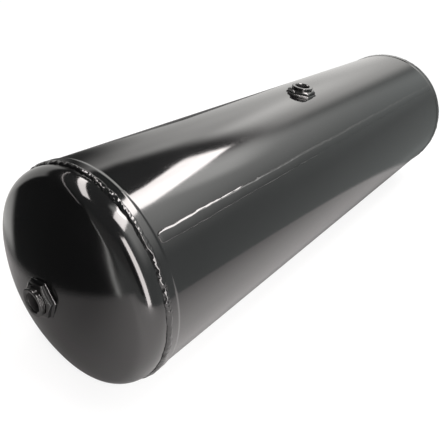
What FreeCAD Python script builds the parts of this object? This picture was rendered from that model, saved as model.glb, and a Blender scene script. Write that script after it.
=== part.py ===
import FreeCAD, Part
import math
import os
import Sketcher

# A horizontal compressed-air tank: a rolled shell whose two ends are expanded over the
# flanges of dished heads, a lap weld round each end, a straight seam weld along the shell,
# and a hexagonal threaded boss in the middle of each head and on top of the shell.
#
# Frame, in millimetres: X runs along the tank, with the front head at -X; Z is up, through
# the top port; the origin is under the middle of the tank, on the lowest line of the welds.

doc = FreeCAD.newDocument("pressure_tank")

SIZES = {
    # shell
    "shell_radius": 123.0,
    "shell_length": 800.0,
    "shell_wall": 2.5,
    # expanded ends of the shell
    "lap_length": 8.0,
    "lap_blend": 5.0,
    "lap_step": 1.1,
    "lap_clearance": 0.05,
    # dished heads
    "head_wall": 2.5,
    "insert_gap": 0.5,
    "head_flange": 6.0,
    "crown_radius": 246.0,
    "knuckle_radius": 24.6,
    # lap welds round the ends
    "girth_leg": 4.0,
    "girth_toe": 1.5,
    "girth_face_radius": 3.8,
    # straight seam, measured round the shell from the top port
    "seam_angle": 44.5,
    "seam_root": 1.5,
    "seam_groove": 6.0,
    "seam_width": 12.0,
    "seam_height": 1.0,
    # threaded bosses
    "thread_radius": 10.19,
    "mouth_lead": 1.01,
    "spigot_wall": 3.81,
    "spigot_clearance": 0.05,
    "spigot_reach": 1.5,
    "hex_flats": 36.0,
    "hex_height": 6.0,
    "hex_top_inset": 1.4,
    "hex_chamfer_angle": 30.0,
    "head_hex_turn": -15.0,
    "neck_wall": 4.01,
    "neck_height": 1.0,
    "collar_lip": 1.2,
    "collar_height": 3.5,
    "collar_bevel": 0.5,
    # fillet welds round the bosses
    "boss_leg": 2.0,
}

sheet = doc.addObject("Spreadsheet::Sheet", "Sizes")
for row, (alias, number) in enumerate(SIZES.items(), start=1):
    sheet.set(f"A{row}", alias)
    sheet.set(f"B{row}", str(number))
    sheet.setAlias(f"B{row}", alias)
doc.recompute()

# How far a cut runs on past the faces that it goes through.
CUT_MARGIN = 1.0

ORIGIN = FreeCAD.Vector(0, 0, 0)
ALONG = FreeCAD.Vector(1, 0, 0)
UP = FreeCAD.Vector(0, 0, 1)

# Sizes that follow from the driving ones, as the expressions that bind the features.
SHELL_INSIDE = "(Sizes.shell_radius - Sizes.shell_wall)"
LAP_RADIUS = "(Sizes.shell_radius + Sizes.lap_step)"
HALF_SHELL = "(Sizes.shell_length / 2)"
FLANGE_RADIUS = f"({SHELL_INSIDE} + Sizes.lap_step - Sizes.lap_clearance)"
SEAM_LENGTH = "(Sizes.shell_length - 2 * Sizes.lap_length - 2 * Sizes.lap_blend)"
SEAM_ROOT = f"sqrt({SHELL_INSIDE}^2 - (Sizes.seam_root / 2)^2)"
SEAM_TOP = "sqrt(Sizes.shell_radius^2 - (Sizes.seam_groove / 2)^2)"
HEAD_INSERT = "(Sizes.lap_length - Sizes.insert_gap)"
SPIGOT_RADIUS = "(Sizes.thread_radius + Sizes.spigot_wall)"
PORT_HOLE = f"({SPIGOT_RADIUS} + Sizes.spigot_clearance)"
CROWN_DROP = (
    "sqrt((Sizes.crown_radius - Sizes.knuckle_radius)^2"
    f" - ({FLANGE_RADIUS} - Sizes.knuckle_radius)^2)"
)
DISH = f"(Sizes.head_flange + Sizes.crown_radius - {CROWN_DROP})"
HEX_CORNER = "(Sizes.hex_flats / sqrt(3))"
WELD_FLATS = "(Sizes.hex_flats + 2 * Sizes.boss_leg)"
WELD_CORNER = f"({WELD_FLATS} / sqrt(3))"
BOSS_HEIGHT = "(Sizes.hex_height + Sizes.neck_height + Sizes.collar_height)"


def number(expression):
    """The value of an expression on the sheet, as a plain number."""
    result = sheet.evalExpression(expression)
    return float(getattr(result, "Value", result))


# The welds' crowns touch the ground, so the tank's axis is one crown radius above it.
def girth_crown():
    """Largest radius of a lap weld, where its rounded face is highest."""
    toe = number("Sizes.girth_toe")
    leg = number("Sizes.girth_leg")
    lap = number(LAP_RADIUS)
    flange = number(FLANGE_RADIUS)
    face = number("Sizes.girth_face_radius")
    chord = math.hypot(toe + leg, lap - flange)
    depth = math.sqrt(face**2 - (chord / 2) ** 2)
    middle = (lap + flange) / 2
    return max(lap, middle - depth * (toe + leg) / chord + face)


AXIS_HEIGHT = girth_crown()


def new_body(label):
    body = doc.addObject("PartDesign::Body", label)
    body.Label = label
    return body


def new_sketch(body, name, role):
    sketch = body.newObject("Sketcher::SketchObject", name)
    plane = next(p for p in body.Origin.OriginFeatures if p.Role == role)
    sketch.AttachmentSupport = [(plane, "")]
    sketch.MapMode = "FlatFace"
    return sketch


def bind(sketch, kind, geometry, expression):
    """Adds a dimension whose value comes from the sheet."""
    index = sketch.addConstraint(Sketcher.Constraint(kind, *geometry, number(expression)))
    sketch.setExpression(f"Constraints[{index}]", expression)


def outline(sketch, corners, arcs=None):
    """Draws a closed outline through corners given as pairs of expressions.

    arcs maps the number of an edge to (radius expression, centre as numbers); the other
    edges are straight. Edge n runs from corner n to the next one.
    """
    arcs = arcs or {}
    points = [FreeCAD.Vector(number(u), number(v), 0) for u, v in corners]
    starts = []
    for edge, start in enumerate(points):
        end = points[(edge + 1) % len(points)]
        if edge not in arcs:
            sketch.addGeometry(Part.LineSegment(start, end))
            starts.append((edge, 1, 2))
            continue
        radius, centre = arcs[edge]
        centre = FreeCAD.Vector(*centre, 0)
        turn = (start - centre).cross(end - centre).z
        first, last = (start, end) if turn > 0 else (end, start)
        circle = Part.Circle(centre, UP, number(radius))
        low = math.atan2(first.y - centre.y, first.x - centre.x)
        high = math.atan2(last.y - centre.y, last.x - centre.x)
        sketch.addGeometry(Part.ArcOfCircle(circle, low, high))
        starts.append((edge, 1, 2) if turn > 0 else (edge, 2, 1))
    for edge, (_, _, end_side) in enumerate(starts):
        following, start_side, _ = starts[(edge + 1) % len(points)]
        sketch.addConstraint(
            Sketcher.Constraint("Coincident", edge, end_side, following, start_side)
        )
    for (edge, start_side, _), (u, v) in zip(starts, corners):
        bind(sketch, "DistanceX", (-1, 1, edge, start_side), u)
        bind(sketch, "DistanceY", (-1, 1, edge, start_side), v)
    for edge, (radius, _) in arcs.items():
        bind(sketch, "Radius", (edge,), radius)


def revolve(body, sketch, name, axis, kind="PartDesign::Revolution"):
    turned = body.newObject(kind, name)
    turned.Profile = sketch
    turned.ReferenceAxis = (sketch, [axis])
    turned.Angle = 360
    body.Tip = turned
    doc.recompute()
    return turned


def place(body, position, rotation=FreeCAD.Rotation()):
    body.Placement = FreeCAD.Placement(position, rotation)


# ---- shell plate ------------------------------------------------------------------------
def shell_side(radius):
    """One side of the shell's section, from the front end to the rear end.

    Between the plain shell and each expanded end the side is an S of two equal arcs.
    Returns the corners, and the arcs by the number of their edge.
    """
    high = f"({radius} + Sizes.lap_step)"
    middle = f"({radius} + Sizes.lap_step / 2)"
    lap = f"({HALF_SHELL} - Sizes.lap_length)"
    turn = f"({HALF_SHELL} - Sizes.lap_length - Sizes.lap_blend / 2)"
    blend = f"({HALF_SHELL} - Sizes.lap_length - Sizes.lap_blend)"
    corners = [
        (f"-{HALF_SHELL}", high),
        (f"-{lap}", high),
        (f"-{turn}", middle),
        (f"-{blend}", radius),
        (blend, radius),
        (turn, middle),
        (lap, high),
        (HALF_SHELL, high),
    ]
    bend = "((Sizes.lap_blend^2 + Sizes.lap_step^2) / (4 * Sizes.lap_step))"
    under = number(f"{high} - {bend}")
    over = number(f"{radius} + {bend}")
    arcs = {
        1: (bend, (-number(lap), under)),
        2: (bend, (-number(blend), over)),
        4: (bend, (number(blend), over)),
        5: (bend, (number(lap), under)),
    }
    return corners, arcs


def make_shell():
    body = new_body("shell_plate")
    section = new_sketch(body, "shell_section", "XZ_Plane")
    outside, arcs = shell_side("Sizes.shell_radius")
    inside, inside_arcs = shell_side(SHELL_INSIDE)
    # the inside runs back from the rear end, so its edges are numbered the other way
    last_edge = len(outside) + len(inside) - 2
    arcs.update({last_edge - edge: arc for edge, arc in inside_arcs.items()})
    outline(section, outside + inside[::-1], arcs)
    revolve(body, section, "shell_wall", "H_Axis")

    # the seam's groove, cut right through the wall between the expanded ends
    groove = new_sketch(body, "seam_groove", "YZ_Plane")
    groove.AttachmentOffset = FreeCAD.Placement(
        ORIGIN, FreeCAD.Rotation(UP, number("Sizes.seam_angle"))
    )
    groove.setExpression(".AttachmentOffset.Rotation.Angle", "Sizes.seam_angle")
    outline(groove, seam_groove_section())
    cut = body.newObject("PartDesign::Pocket", "seam_cut")
    cut.Profile = groove
    cut.Midplane = True
    cut.Length = number(SEAM_LENGTH)
    cut.setExpression("Length", SEAM_LENGTH)
    body.Tip = cut
    doc.recompute()

    port = new_sketch(body, "port_hole", "XY_Plane")
    port.addGeometry(Part.Circle(ORIGIN, UP, number(PORT_HOLE)))
    port.addConstraint(Sketcher.Constraint("Coincident", 0, 3, -1, 1))
    bind(port, "Radius", (0,), PORT_HOLE)
    hole = body.newObject("PartDesign::Pocket", "port_cut")
    hole.Profile = port
    hole.Type = "Length"
    hole.Length = number("Sizes.shell_radius") * 2
    hole.setExpression("Length", "Sizes.shell_radius * 2")
    hole.Reversed = True
    body.Tip = hole
    doc.recompute()
    place(body, UP * AXIS_HEIGHT)


# ---- seam weld --------------------------------------------------------------------------
def seam_groove_section():
    """The groove between the shell's edges: a wedge that opens outwards.

    Its slanting sides run past the outer face of the wall, and below the inner face the
    sides are straight.
    """
    root = "Sizes.seam_root / 2"
    slope = f"((Sizes.seam_groove - Sizes.seam_root) / 2 / ({SEAM_TOP} - {SEAM_ROOT}))"
    wide = f"(Sizes.seam_groove / 2 + {slope} * {CUT_MARGIN})"
    low = f"({SEAM_ROOT} - {CUT_MARGIN})"
    high = f"({SEAM_TOP} + {CUT_MARGIN})"
    return [
        (f"-{root}", low),
        (root, low),
        (root, SEAM_ROOT),
        (wide, high),
        (f"-{wide}", high),
        (f"-{root}", SEAM_ROOT),
    ]


def make_seam():
    body = new_body("seam_weld")
    section = new_sketch(body, "seam_section", "YZ_Plane")
    radius = "Sizes.shell_radius"
    half = "(Sizes.seam_width / 2)"
    crown = f"({half}^2 / 2 / Sizes.seam_height + Sizes.seam_height / 2)"
    toe_edge = f"sqrt({radius}^2 - {half}^2)"
    crown_centre = number(toe_edge) + number("Sizes.seam_height") - number(crown)
    corners = [
        ("-Sizes.seam_root / 2", SEAM_ROOT),
        ("Sizes.seam_root / 2", SEAM_ROOT),
        ("Sizes.seam_groove / 2", SEAM_TOP),
        (half, toe_edge),
        (f"-{half}", toe_edge),
        ("-Sizes.seam_groove / 2", SEAM_TOP),
    ]
    arcs = {
        0: (SHELL_INSIDE, (0, 0)),
        2: (radius, (0, 0)),
        3: (crown, (0, crown_centre)),
        4: (radius, (0, 0)),
    }
    outline(section, corners, arcs)
    bead = body.newObject("PartDesign::Pad", "seam_bead")
    bead.Profile = section
    bead.Midplane = True
    bead.Length = number(SEAM_LENGTH)
    bead.setExpression("Length", SEAM_LENGTH)
    body.Tip = bead
    doc.recompute()
    turn = FreeCAD.Rotation(ALONG, number("Sizes.seam_angle"))
    place(body, UP * AXIS_HEIGHT, turn)


# ---- heads ------------------------------------------------------------------------------
def make_head(label, rotation):
    """A dished head: a flange, a knuckle and a spherical crown, one wall thick.

    Built with its dish towards +X, and the shell's end at X = 0.
    """
    body = new_body(label)
    section = new_sketch(body, f"{label}_section", "XZ_Plane")
    flange = number("Sizes.head_flange")
    insert = number(HEAD_INSERT)
    wall = number("Sizes.head_wall")
    knuckle = number("Sizes.knuckle_radius")
    crown = number("Sizes.crown_radius")
    outer = number(FLANGE_RADIUS)
    port = number(PORT_HOLE)
    knuckle_centre = FreeCAD.Vector(flange, outer - knuckle, 0)
    crown_centre = FreeCAD.Vector(flange - number(CROWN_DROP), 0, 0)
    joint = math.atan2(knuckle_centre.y, knuckle_centre.x - crown_centre.x)
    quarter = math.pi / 2

    def crown_arc(radius):
        circle = Part.Circle(crown_centre, UP, radius)
        return Part.ArcOfCircle(circle, math.asin(port / radius), joint)

    def knuckle_arc(radius):
        circle = Part.Circle(knuckle_centre, UP, radius)
        return Part.ArcOfCircle(circle, joint, quarter)

    outer_crown = crown_arc(crown)
    inner_crown = crown_arc(crown - wall)
    at = FreeCAD.Vector
    shapes = [
        Part.LineSegment(at(-insert, outer - wall, 0), at(-insert, outer, 0)),
        Part.LineSegment(at(-insert, outer, 0), at(flange, outer, 0)),
        knuckle_arc(knuckle),
        outer_crown,
        Part.LineSegment(outer_crown.StartPoint, inner_crown.StartPoint),
        inner_crown,
        knuckle_arc(knuckle - wall),
        Part.LineSegment(at(flange, outer - wall, 0), at(-insert, outer - wall, 0)),
    ]
    section.addGeometry(shapes)
    edge, flange_line, knuckle_out, crown_out = range(4)
    bore_line, crown_in, knuckle_in, inside_line = range(4, 8)
    joins = [
        ("Coincident", edge, 2, flange_line, 1),
        ("Tangent", flange_line, 2, knuckle_out, 2),
        ("Tangent", knuckle_out, 1, crown_out, 2),
        ("Coincident", crown_out, 1, bore_line, 1),
        ("Coincident", bore_line, 2, crown_in, 1),
        ("Tangent", crown_in, 2, knuckle_in, 1),
        ("Tangent", knuckle_in, 2, inside_line, 1),
        ("Coincident", inside_line, 2, edge, 1),
        ("Vertical", edge),
        ("Horizontal", flange_line),
        ("Horizontal", bore_line),
        ("Horizontal", inside_line),
        ("Coincident", knuckle_out, 3, knuckle_in, 3),
        ("PointOnObject", crown_out, 3, -1),
        ("PointOnObject", crown_in, 3, -1),
    ]
    for join in joins:
        section.addConstraint(Sketcher.Constraint(*join))
    bind(section, "DistanceX", (-1, 1, edge, 1), f"-{HEAD_INSERT}")
    bind(section, "DistanceX", (-1, 1, knuckle_out, 3), "Sizes.head_flange")
    bind(section, "DistanceY", (-1, 1, edge, 2), FLANGE_RADIUS)
    bind(section, "DistanceY", (-1, 1, bore_line, 1), PORT_HOLE)
    bind(section, "Radius", (knuckle_out,), "Sizes.knuckle_radius")
    bind(section, "Radius", (knuckle_in,), "Sizes.knuckle_radius - Sizes.head_wall")
    bind(section, "Radius", (crown_out,), "Sizes.crown_radius")
    bind(section, "Radius", (crown_in,), "Sizes.crown_radius - Sizes.head_wall")
    revolve(body, section, f"{label}_dish", "H_Axis")
    place_at_end(body, rotation)


def place_at_end(body, rotation):
    """Puts what was built at X = 0, facing +X, on the end of the shell that it belongs to."""
    reach = FreeCAD.Vector(number(HALF_SHELL), 0, 0)
    place(body, rotation.multVec(reach) + UP * AXIS_HEIGHT, rotation)


# ---- lap welds --------------------------------------------------------------------------
def make_girth_weld(label, rotation):
    """A fillet from the head's flange over the edge of the shell's expanded end."""
    body = new_body(label)
    section = new_sketch(body, f"{label}_section", "XZ_Plane")
    lap = number(LAP_RADIUS)
    flange = number(FLANGE_RADIUS)
    toe = number("Sizes.girth_toe")
    leg = number("Sizes.girth_leg")
    face = number("Sizes.girth_face_radius")
    chord = math.hypot(toe + leg, lap - flange)
    depth = math.sqrt(face**2 - (chord / 2) ** 2)
    centre = (
        (leg - toe) / 2 - depth * (lap - flange) / chord,
        (lap + flange) / 2 - depth * (toe + leg) / chord,
    )
    corners = [
        ("0", FLANGE_RADIUS),
        ("Sizes.girth_leg", FLANGE_RADIUS),
        ("-Sizes.girth_toe", LAP_RADIUS),
        ("0", LAP_RADIUS),
    ]
    outline(section, corners, {1: ("Sizes.girth_face_radius", centre)})
    revolve(body, section, f"{label}_bead", "H_Axis")
    place_at_end(body, rotation)


# ---- bosses -----------------------------------------------------------------------------
# A boss and its weld are built with the port's axis on Z, pointing out, and Z = 0 where
# that axis meets the outside of the tank wall. They sit on the round top of the shell or
# on the spherical crown of a head, so each is cut to fit that surface.
def hexagon(sketch, flats):
    """A hexagon about the origin with two corners on the sketch's X axis."""
    corner = f"({flats} / sqrt(3))"
    corners = []
    for step in range(6):
        across = round(math.cos(math.radians(60 * step)), 6)
        side = round(math.sin(math.radians(60 * step)) * 2 / math.sqrt(3), 6)
        corners.append((f"{corner} * {across}", f"{flats} / 2 * {side}"))
    outline(sketch, corners)


def seat_depth(on_shell):
    """How far the tank wall falls away from the port's axis under the weld's corners."""
    radius = "Sizes.shell_radius" if on_shell else "Sizes.crown_radius"
    return f"({radius} - sqrt({radius}^2 - {WELD_CORNER}^2))"


def hex_block(body, name, flats, height, on_shell, taper=0.0):
    """A hexagonal block that reaches down past the curved tank wall."""
    sketch = new_sketch(body, f"{name}_outline", "XY_Plane")
    hexagon(sketch, flats)
    block = body.newObject("PartDesign::Pad", name)
    block.Profile = sketch
    block.Length = number(height)
    block.setExpression("Length", height)
    block.TaperAngle = taper
    below = body.newObject("PartDesign::Pad", f"{name}_skirt")
    below.Profile = sketch
    below.Reversed = True
    below.Length = number(seat_depth(on_shell))
    below.setExpression("Length", seat_depth(on_shell))
    body.Tip = below
    doc.recompute()


def cut_seat(body, name, on_shell):
    """Cuts away what lies inside the tank wall's outer surface."""
    sketch = new_sketch(body, f"{name}_circle", "YZ_Plane" if on_shell else "XZ_Plane")
    radius = "Sizes.shell_radius" if on_shell else "Sizes.crown_radius"
    size = number(radius)
    if on_shell:
        sketch.addGeometry(Part.Circle(FreeCAD.Vector(0, -size, 0), UP, size))
        sketch.addConstraint(Sketcher.Constraint("PointOnObject", 0, 3, -2))
        bind(sketch, "DistanceY", (-1, 1, 0, 3), f"-{radius}")
        bind(sketch, "Radius", (0,), radius)
        seat = body.newObject("PartDesign::Pocket", name)
        seat.Profile = sketch
        seat.Midplane = True
        seat.Length = number(f"4 * {WELD_CORNER}")
        seat.setExpression("Length", f"4 * {WELD_CORNER}")
        body.Tip = seat
        doc.recompute()
        return
    reach = WELD_CORNER + " * 1.5"
    fall = f"(sqrt({radius}^2 - ({reach})^2) - {radius})"
    corners = [("0", f"2 * {fall}"), (reach, f"2 * {fall}"), (reach, fall), ("0", "0")]
    outline(sketch, corners, {2: (radius, (0, -size))})
    revolve(body, sketch, name, "V_Axis", "PartDesign::Groove")


def ring(body, name, inner, outer, low, high):
    """A plain ring about the port's axis."""
    sketch = new_sketch(body, f"{name}_section", "XZ_Plane")
    outline(sketch, [(inner, low), (outer, low), (outer, high), (inner, high)])
    revolve(body, sketch, name, "V_Axis")


def make_boss(label, position, rotation, on_shell):
    body = new_body(label)
    hex_block(body, f"{label}_hexagon", "Sizes.hex_flats", "Sizes.hex_height", on_shell)
    cut_seat(body, f"{label}_seat", on_shell)

    # the corners of the hexagon are turned down to a cone round its top face
    corners = new_sketch(body, f"{label}_corner_section", "XZ_Plane")
    top = "Sizes.hex_height"
    inside = "(Sizes.hex_flats / 2 - Sizes.hex_top_inset)"
    outside = f"(2 * {HEX_CORNER} - {inside})"
    fall = f"(({outside} - {inside}) * tan(Sizes.hex_chamfer_angle * 1deg))"
    outline(corners, [(inside, top), (outside, f"{top} - {fall}"), (outside, top)])
    revolve(body, corners, f"{label}_corners", "V_Axis", "PartDesign::Groove")

    # the spigot in the wall, then the turned neck and collar; both start inside the bore,
    # which is cut last, and meet halfway up the hexagon
    bore = "Sizes.thread_radius"
    core = "(Sizes.thread_radius / 2)"
    middle = "(Sizes.hex_height / 2)"
    foot = "-(Sizes.shell_wall + Sizes.spigot_reach)"
    if not on_shell:
        foot = "-(Sizes.head_wall + Sizes.spigot_reach)"
    neck_top = "(Sizes.hex_height + Sizes.neck_height)"
    ring(body, f"{label}_spigot", core, SPIGOT_RADIUS, foot, middle)
    turned = new_sketch(body, f"{label}_turned_section", "XZ_Plane")
    neck = "(Sizes.thread_radius + Sizes.neck_wall)"
    collar = f"({neck} + Sizes.collar_lip)"
    bevel = "Sizes.collar_bevel"
    profile = [
        (core, middle),
        (neck, middle),
        (neck, neck_top),
        (collar, neck_top),
        (collar, f"{BOSS_HEIGHT} - {bevel}"),
        (f"{collar} - {bevel}", BOSS_HEIGHT),
        (core, BOSS_HEIGHT),
    ]
    outline(turned, profile)
    revolve(body, turned, f"{label}_turned", "V_Axis")

    hollow = new_sketch(body, f"{label}_bore_section", "XZ_Plane")
    lead = "Sizes.mouth_lead"
    mouth = f"({bore} + {lead})"
    below = f"{foot} - {CUT_MARGIN}"
    above = f"{BOSS_HEIGHT} + {CUT_MARGIN}"
    hollow_profile = [
        ("0", below),
        (bore, below),
        (bore, f"{BOSS_HEIGHT} - {lead}"),
        (mouth, BOSS_HEIGHT),
        (mouth, above),
        ("0", above),
    ]
    outline(hollow, hollow_profile)
    revolve(body, hollow, f"{label}_bore", "V_Axis", "PartDesign::Groove")
    place(body, position, rotation)


def make_boss_weld(label, position, rotation, on_shell):
    """A fillet weld that follows the hexagon round, from its sides to the tank wall."""
    body = new_body(label)
    hex_block(body, f"{label}_fillet", WELD_FLATS, "Sizes.boss_leg", on_shell, taper=-45.0)
    cut_seat(body, f"{label}_seat", on_shell)
    inner = new_sketch(body, f"{label}_inner_outline", "XY_Plane")
    hexagon(inner, "Sizes.hex_flats")
    clear = body.newObject("PartDesign::Pocket", f"{label}_inner")
    clear.Profile = inner
    clear.Midplane = True
    clear.Length = number("4 * Sizes.boss_leg")
    clear.setExpression("Length", "4 * Sizes.boss_leg")
    body.Tip = clear
    doc.recompute()
    place(body, position, rotation)


# ---- assembly ---------------------------------------------------------------------------
REAR = FreeCAD.Rotation()
FRONT = FreeCAD.Rotation(UP, 180)

make_shell()
make_seam()
for side, facing in (("front", FRONT), ("rear", REAR)):
    make_head(f"head_{side}", facing)
    make_girth_weld(f"girth_weld_{side}", facing)

crown_reach = FreeCAD.Vector(number(f"{HALF_SHELL} + {DISH}"), 0, 0)
# the top boss has two corners along the tank; a head's boss is turned a little from upright
out_of_head = FreeCAD.Rotation(FreeCAD.Vector(0, 1, 0), 90)
turned_hexagon = FreeCAD.Rotation(UP, number("Sizes.head_hex_turn"))
head_port = out_of_head * turned_hexagon
top_of_shell = UP * (AXIS_HEIGHT + number("Sizes.shell_radius"))
ports = {
    "top": (top_of_shell, FreeCAD.Rotation(), True),
    "front": (FRONT.multVec(crown_reach) + UP * AXIS_HEIGHT, FRONT * head_port, False),
    "rear": (crown_reach + UP * AXIS_HEIGHT, head_port, False),
}
for side, (position, rotation, on_shell) in ports.items():
    make_boss(f"port_boss_{side}", position, rotation, on_shell)
    make_boss_weld(f"boss_weld_{side}", position, rotation, on_shell)

doc.recompute()
for item in doc.Objects:
    if "Invalid" in item.State or "Error" in item.State:
        raise RuntimeError(f"{item.Label} did not build: {item.State}")

os.makedirs("parts", exist_ok=True)
for body in doc.findObjects("PartDesign::Body"):
    if body.Shape.isNull() or not body.Shape.isValid():
        raise RuntimeError(f"{body.Label} is not a valid solid")
    body.Shape.exportStep(f"parts/{body.Label}.step")
    box = body.Shape.BoundBox
    print(f"{body.Label}: volume {body.Shape.Volume:.0f}, solids {len(body.Shape.Solids)}, "
          f"X {box.XMin:.1f} to {box.XMax:.1f}, Z {box.ZMin:.1f} to {box.ZMax:.1f}")
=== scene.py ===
import math

import bpy
from bpy.props import FloatProperty, FloatVectorProperty, IntProperty, PointerProperty
from mathutils import Euler, Matrix, Vector


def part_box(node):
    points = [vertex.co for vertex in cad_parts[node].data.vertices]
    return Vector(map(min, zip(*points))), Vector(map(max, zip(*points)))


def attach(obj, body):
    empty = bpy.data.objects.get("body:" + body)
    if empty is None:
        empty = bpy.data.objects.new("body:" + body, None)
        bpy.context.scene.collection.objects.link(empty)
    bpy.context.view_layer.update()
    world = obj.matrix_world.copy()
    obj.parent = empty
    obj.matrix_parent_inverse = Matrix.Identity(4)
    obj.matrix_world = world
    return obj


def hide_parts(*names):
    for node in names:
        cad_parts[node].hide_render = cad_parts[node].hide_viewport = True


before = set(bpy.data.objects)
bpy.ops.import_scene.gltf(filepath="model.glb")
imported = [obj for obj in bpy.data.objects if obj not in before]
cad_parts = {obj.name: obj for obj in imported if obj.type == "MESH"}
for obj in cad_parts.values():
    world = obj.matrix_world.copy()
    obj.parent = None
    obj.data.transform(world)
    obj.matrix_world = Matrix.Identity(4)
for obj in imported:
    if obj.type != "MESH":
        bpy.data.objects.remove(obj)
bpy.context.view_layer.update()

bl_info = {
    "name": "Horizontal pressure tank",
    "version": (1, 0, 0),
    "blender": (4, 5, 0),
    "location": "View3D > Sidebar > Tank",
    "description": "Builds a gloss-painted air tank: shell, dished heads, weld beads, threaded bosses",
    "category": "Add Mesh",
}

# ---- what the parts in model.glb say ----------------------------------------------------
# The tank lies along X with its top port on +Z. Every length is in metres.
SHELL_LOW, SHELL_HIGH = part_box("shell_plate")
HALF_LENGTH = SHELL_HIGH.x
AXIS_HEIGHT = (SHELL_LOW.z + SHELL_HIGH.z) / 2
LAP_RADIUS = (SHELL_HIGH.y - SHELL_LOW.y) / 2
HEAD_LOW, HEAD_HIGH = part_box("head_rear")
FLANGE_RADIUS = (HEAD_HIGH.y - HEAD_LOW.y) / 2
SEAM_LOW, SEAM_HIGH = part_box("seam_weld")
FULL_TURN = 2 * math.pi
# a bend of more than this stays a sharp edge in the shading
SHARP_PLATE = math.radians(35)
SHARP_SEAM = math.radians(50)
SHARP_BOSS = math.radians(30)


# ---- sizes and colours that a user may change -------------------------------------------
def length(name, description, default):
    """A length that a user may change."""
    return FloatProperty(
        name=name, description=description, default=default, unit="LENGTH", precision=5
    )


def colour(name, description, default):
    """A colour that a user may change."""
    return FloatVectorProperty(
        name=name, description=description, default=default, subtype="COLOR", min=0.0, max=1.0
    )


def share(name, description, default):
    """A share from 0 to 1 that a user may change."""
    return FloatProperty(
        name=name, description=description, default=default, min=0.0, max=1.0, subtype="FACTOR"
    )


def count(name, description, default):
    """A number of steps that a user may change."""
    return IntProperty(name=name, description=description, default=default, min=3)


class ShellSettings(bpy.types.PropertyGroup):
    """The rolled shell and its two expanded ends"""

    radius: length("Radius", "Outside radius between the expanded ends", 0.123)
    wall: length("Wall", "Thickness of the plate", 0.0025)
    lap_length: length("Lap", "Length of each expanded end", 0.008)
    blend_length: length("Blend", "Length of the bend up to an expanded end", 0.005)
    segments: count("Segments", "Steps round the tank", 288)


class HeadSettings(bpy.types.PropertyGroup):
    """The dished heads"""

    crown_radius: length("Crown radius", "Outside radius of the dish", 0.246)
    knuckle_radius: length("Knuckle radius", "Outside radius of the turned edge", 0.0246)
    flange: length("Flange", "Straight flange beyond the shell", 0.006)
    insert: length("Insert", "Straight flange inside the shell", 0.0075)
    wall: length("Wall", "Thickness of the plate", 0.0025)


class WeldSettings(bpy.types.PropertyGroup):
    """Sizes of the weld beads and of their ripples"""

    girth_leg: length("Girth leg", "Reach of the end welds over the head", 0.004)
    girth_toe: length("Girth toe", "Reach of the end welds over the shell", 0.0015)
    girth_face: length("Girth face", "Radius of the end welds' rounded face", 0.0038)
    girth_pitch: length("Girth ripple", "Distance between ripples of the end welds", 0.0046)
    girth_depth: length("Girth depth", "Depth of those ripples", 0.00018)
    seam_angle: FloatProperty(
        name="Seam angle",
        description="Place of the straight seam, down from the top port",
        default=math.radians(44.5),
        subtype="ANGLE",
    )
    seam_width: length("Seam width", "Width of the straight seam", 0.012)
    seam_height: length("Seam height", "Height of its crown over its toes", 0.001)
    seam_pitch: length("Seam ripple", "Distance between ripples of the seam", 0.0028)
    seam_depth: length("Seam depth", "Depth of those ripples", 0.000014)
    boss_leg: length("Boss leg", "Leg of the fillets round the bosses", 0.002)
    boss_pitch: length("Boss ripple", "Distance between ripples of those fillets", 0.0024)
    boss_depth: length("Boss depth", "Depth of those ripples", 0.00005)
    seed: IntProperty(name="Seed", description="Picks the unevenness", default=7)


class BossSettings(bpy.types.PropertyGroup):
    """The hexagonal threaded bosses"""

    hex_flats: length("Across flats", "Width of the hexagon", 0.036)
    hex_height: length("Hexagon height", "Height of the hexagon over the wall", 0.006)
    hex_inset: length("Top inset", "From the flats in to the round top face", 0.0014)
    hex_chamfer: FloatProperty(
        name="Corner chamfer",
        description="Slope of the turned corners",
        default=math.radians(30),
        subtype="ANGLE",
    )
    corner_round: length("Corner round", "Radius of the hexagon's upright corners", 0.0009)
    edge_round: length("Edge round", "Radius of the small edges", 0.0003)
    neck_radius: length("Neck radius", "Radius of the neck over the hexagon", 0.0142)
    neck_height: length("Neck height", "Height of the neck", 0.001)
    collar_radius: length("Collar radius", "Radius of the round collar", 0.0154)
    collar_height: length("Collar height", "Height of the collar", 0.0035)
    groove_depth: length("Groove depth", "Depth of the turned rings on the collar", 0.00028)
    spigot_radius: length("Spigot radius", "Radius of the spigot in the wall", 0.014)
    port_gap: length("Port gap", "Clearance round the spigot", 0.00005)
    spigot_reach: length("Spigot reach", "How far the spigot stands inside", 0.0015)
    bore_radius: length("Bore radius", "Radius of the thread's crests", 0.01019)
    mouth_lead: length("Mouth lead", "Chamfer at the mouth of the bore", 0.00101)
    thread_pitch: length("Thread pitch", "Distance between turns of the thread", 0.0015)
    thread_depth: length("Thread depth", "Depth of the thread", 0.00081)
    head_turn: FloatProperty(
        name="Head boss turn",
        description="Turn of the hexagon on a head",
        default=math.radians(-15),
        subtype="ANGLE",
    )


class PaintSettings(bpy.types.PropertyGroup):
    """The black gloss finish"""

    black: colour("Black", "Colour of the paint", (0.0019, 0.0019, 0.0020))
    worn: colour("Thin paint", "Colour where the paint is thin on an edge", (0.014, 0.0135, 0.013))
    dust: colour("Dust", "Colour of settled dust", (0.09, 0.087, 0.083))
    roughness: share("Roughness", "Roughness of clean paint", 0.085)
    peel_size: length("Peel size", "Distance between the bumps of the paint film", 0.0026)
    peel_depth: length("Peel depth", "Height of those bumps", 0.0000012)
    flow_size: length("Flow size", "Distance between slow waves in the paint", 0.022)
    flow_depth: length("Flow depth", "Height of those waves", 0.000012)
    nib_height: length("Nib height", "Height of the dust nibs in the paint", 0.00004)


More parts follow.
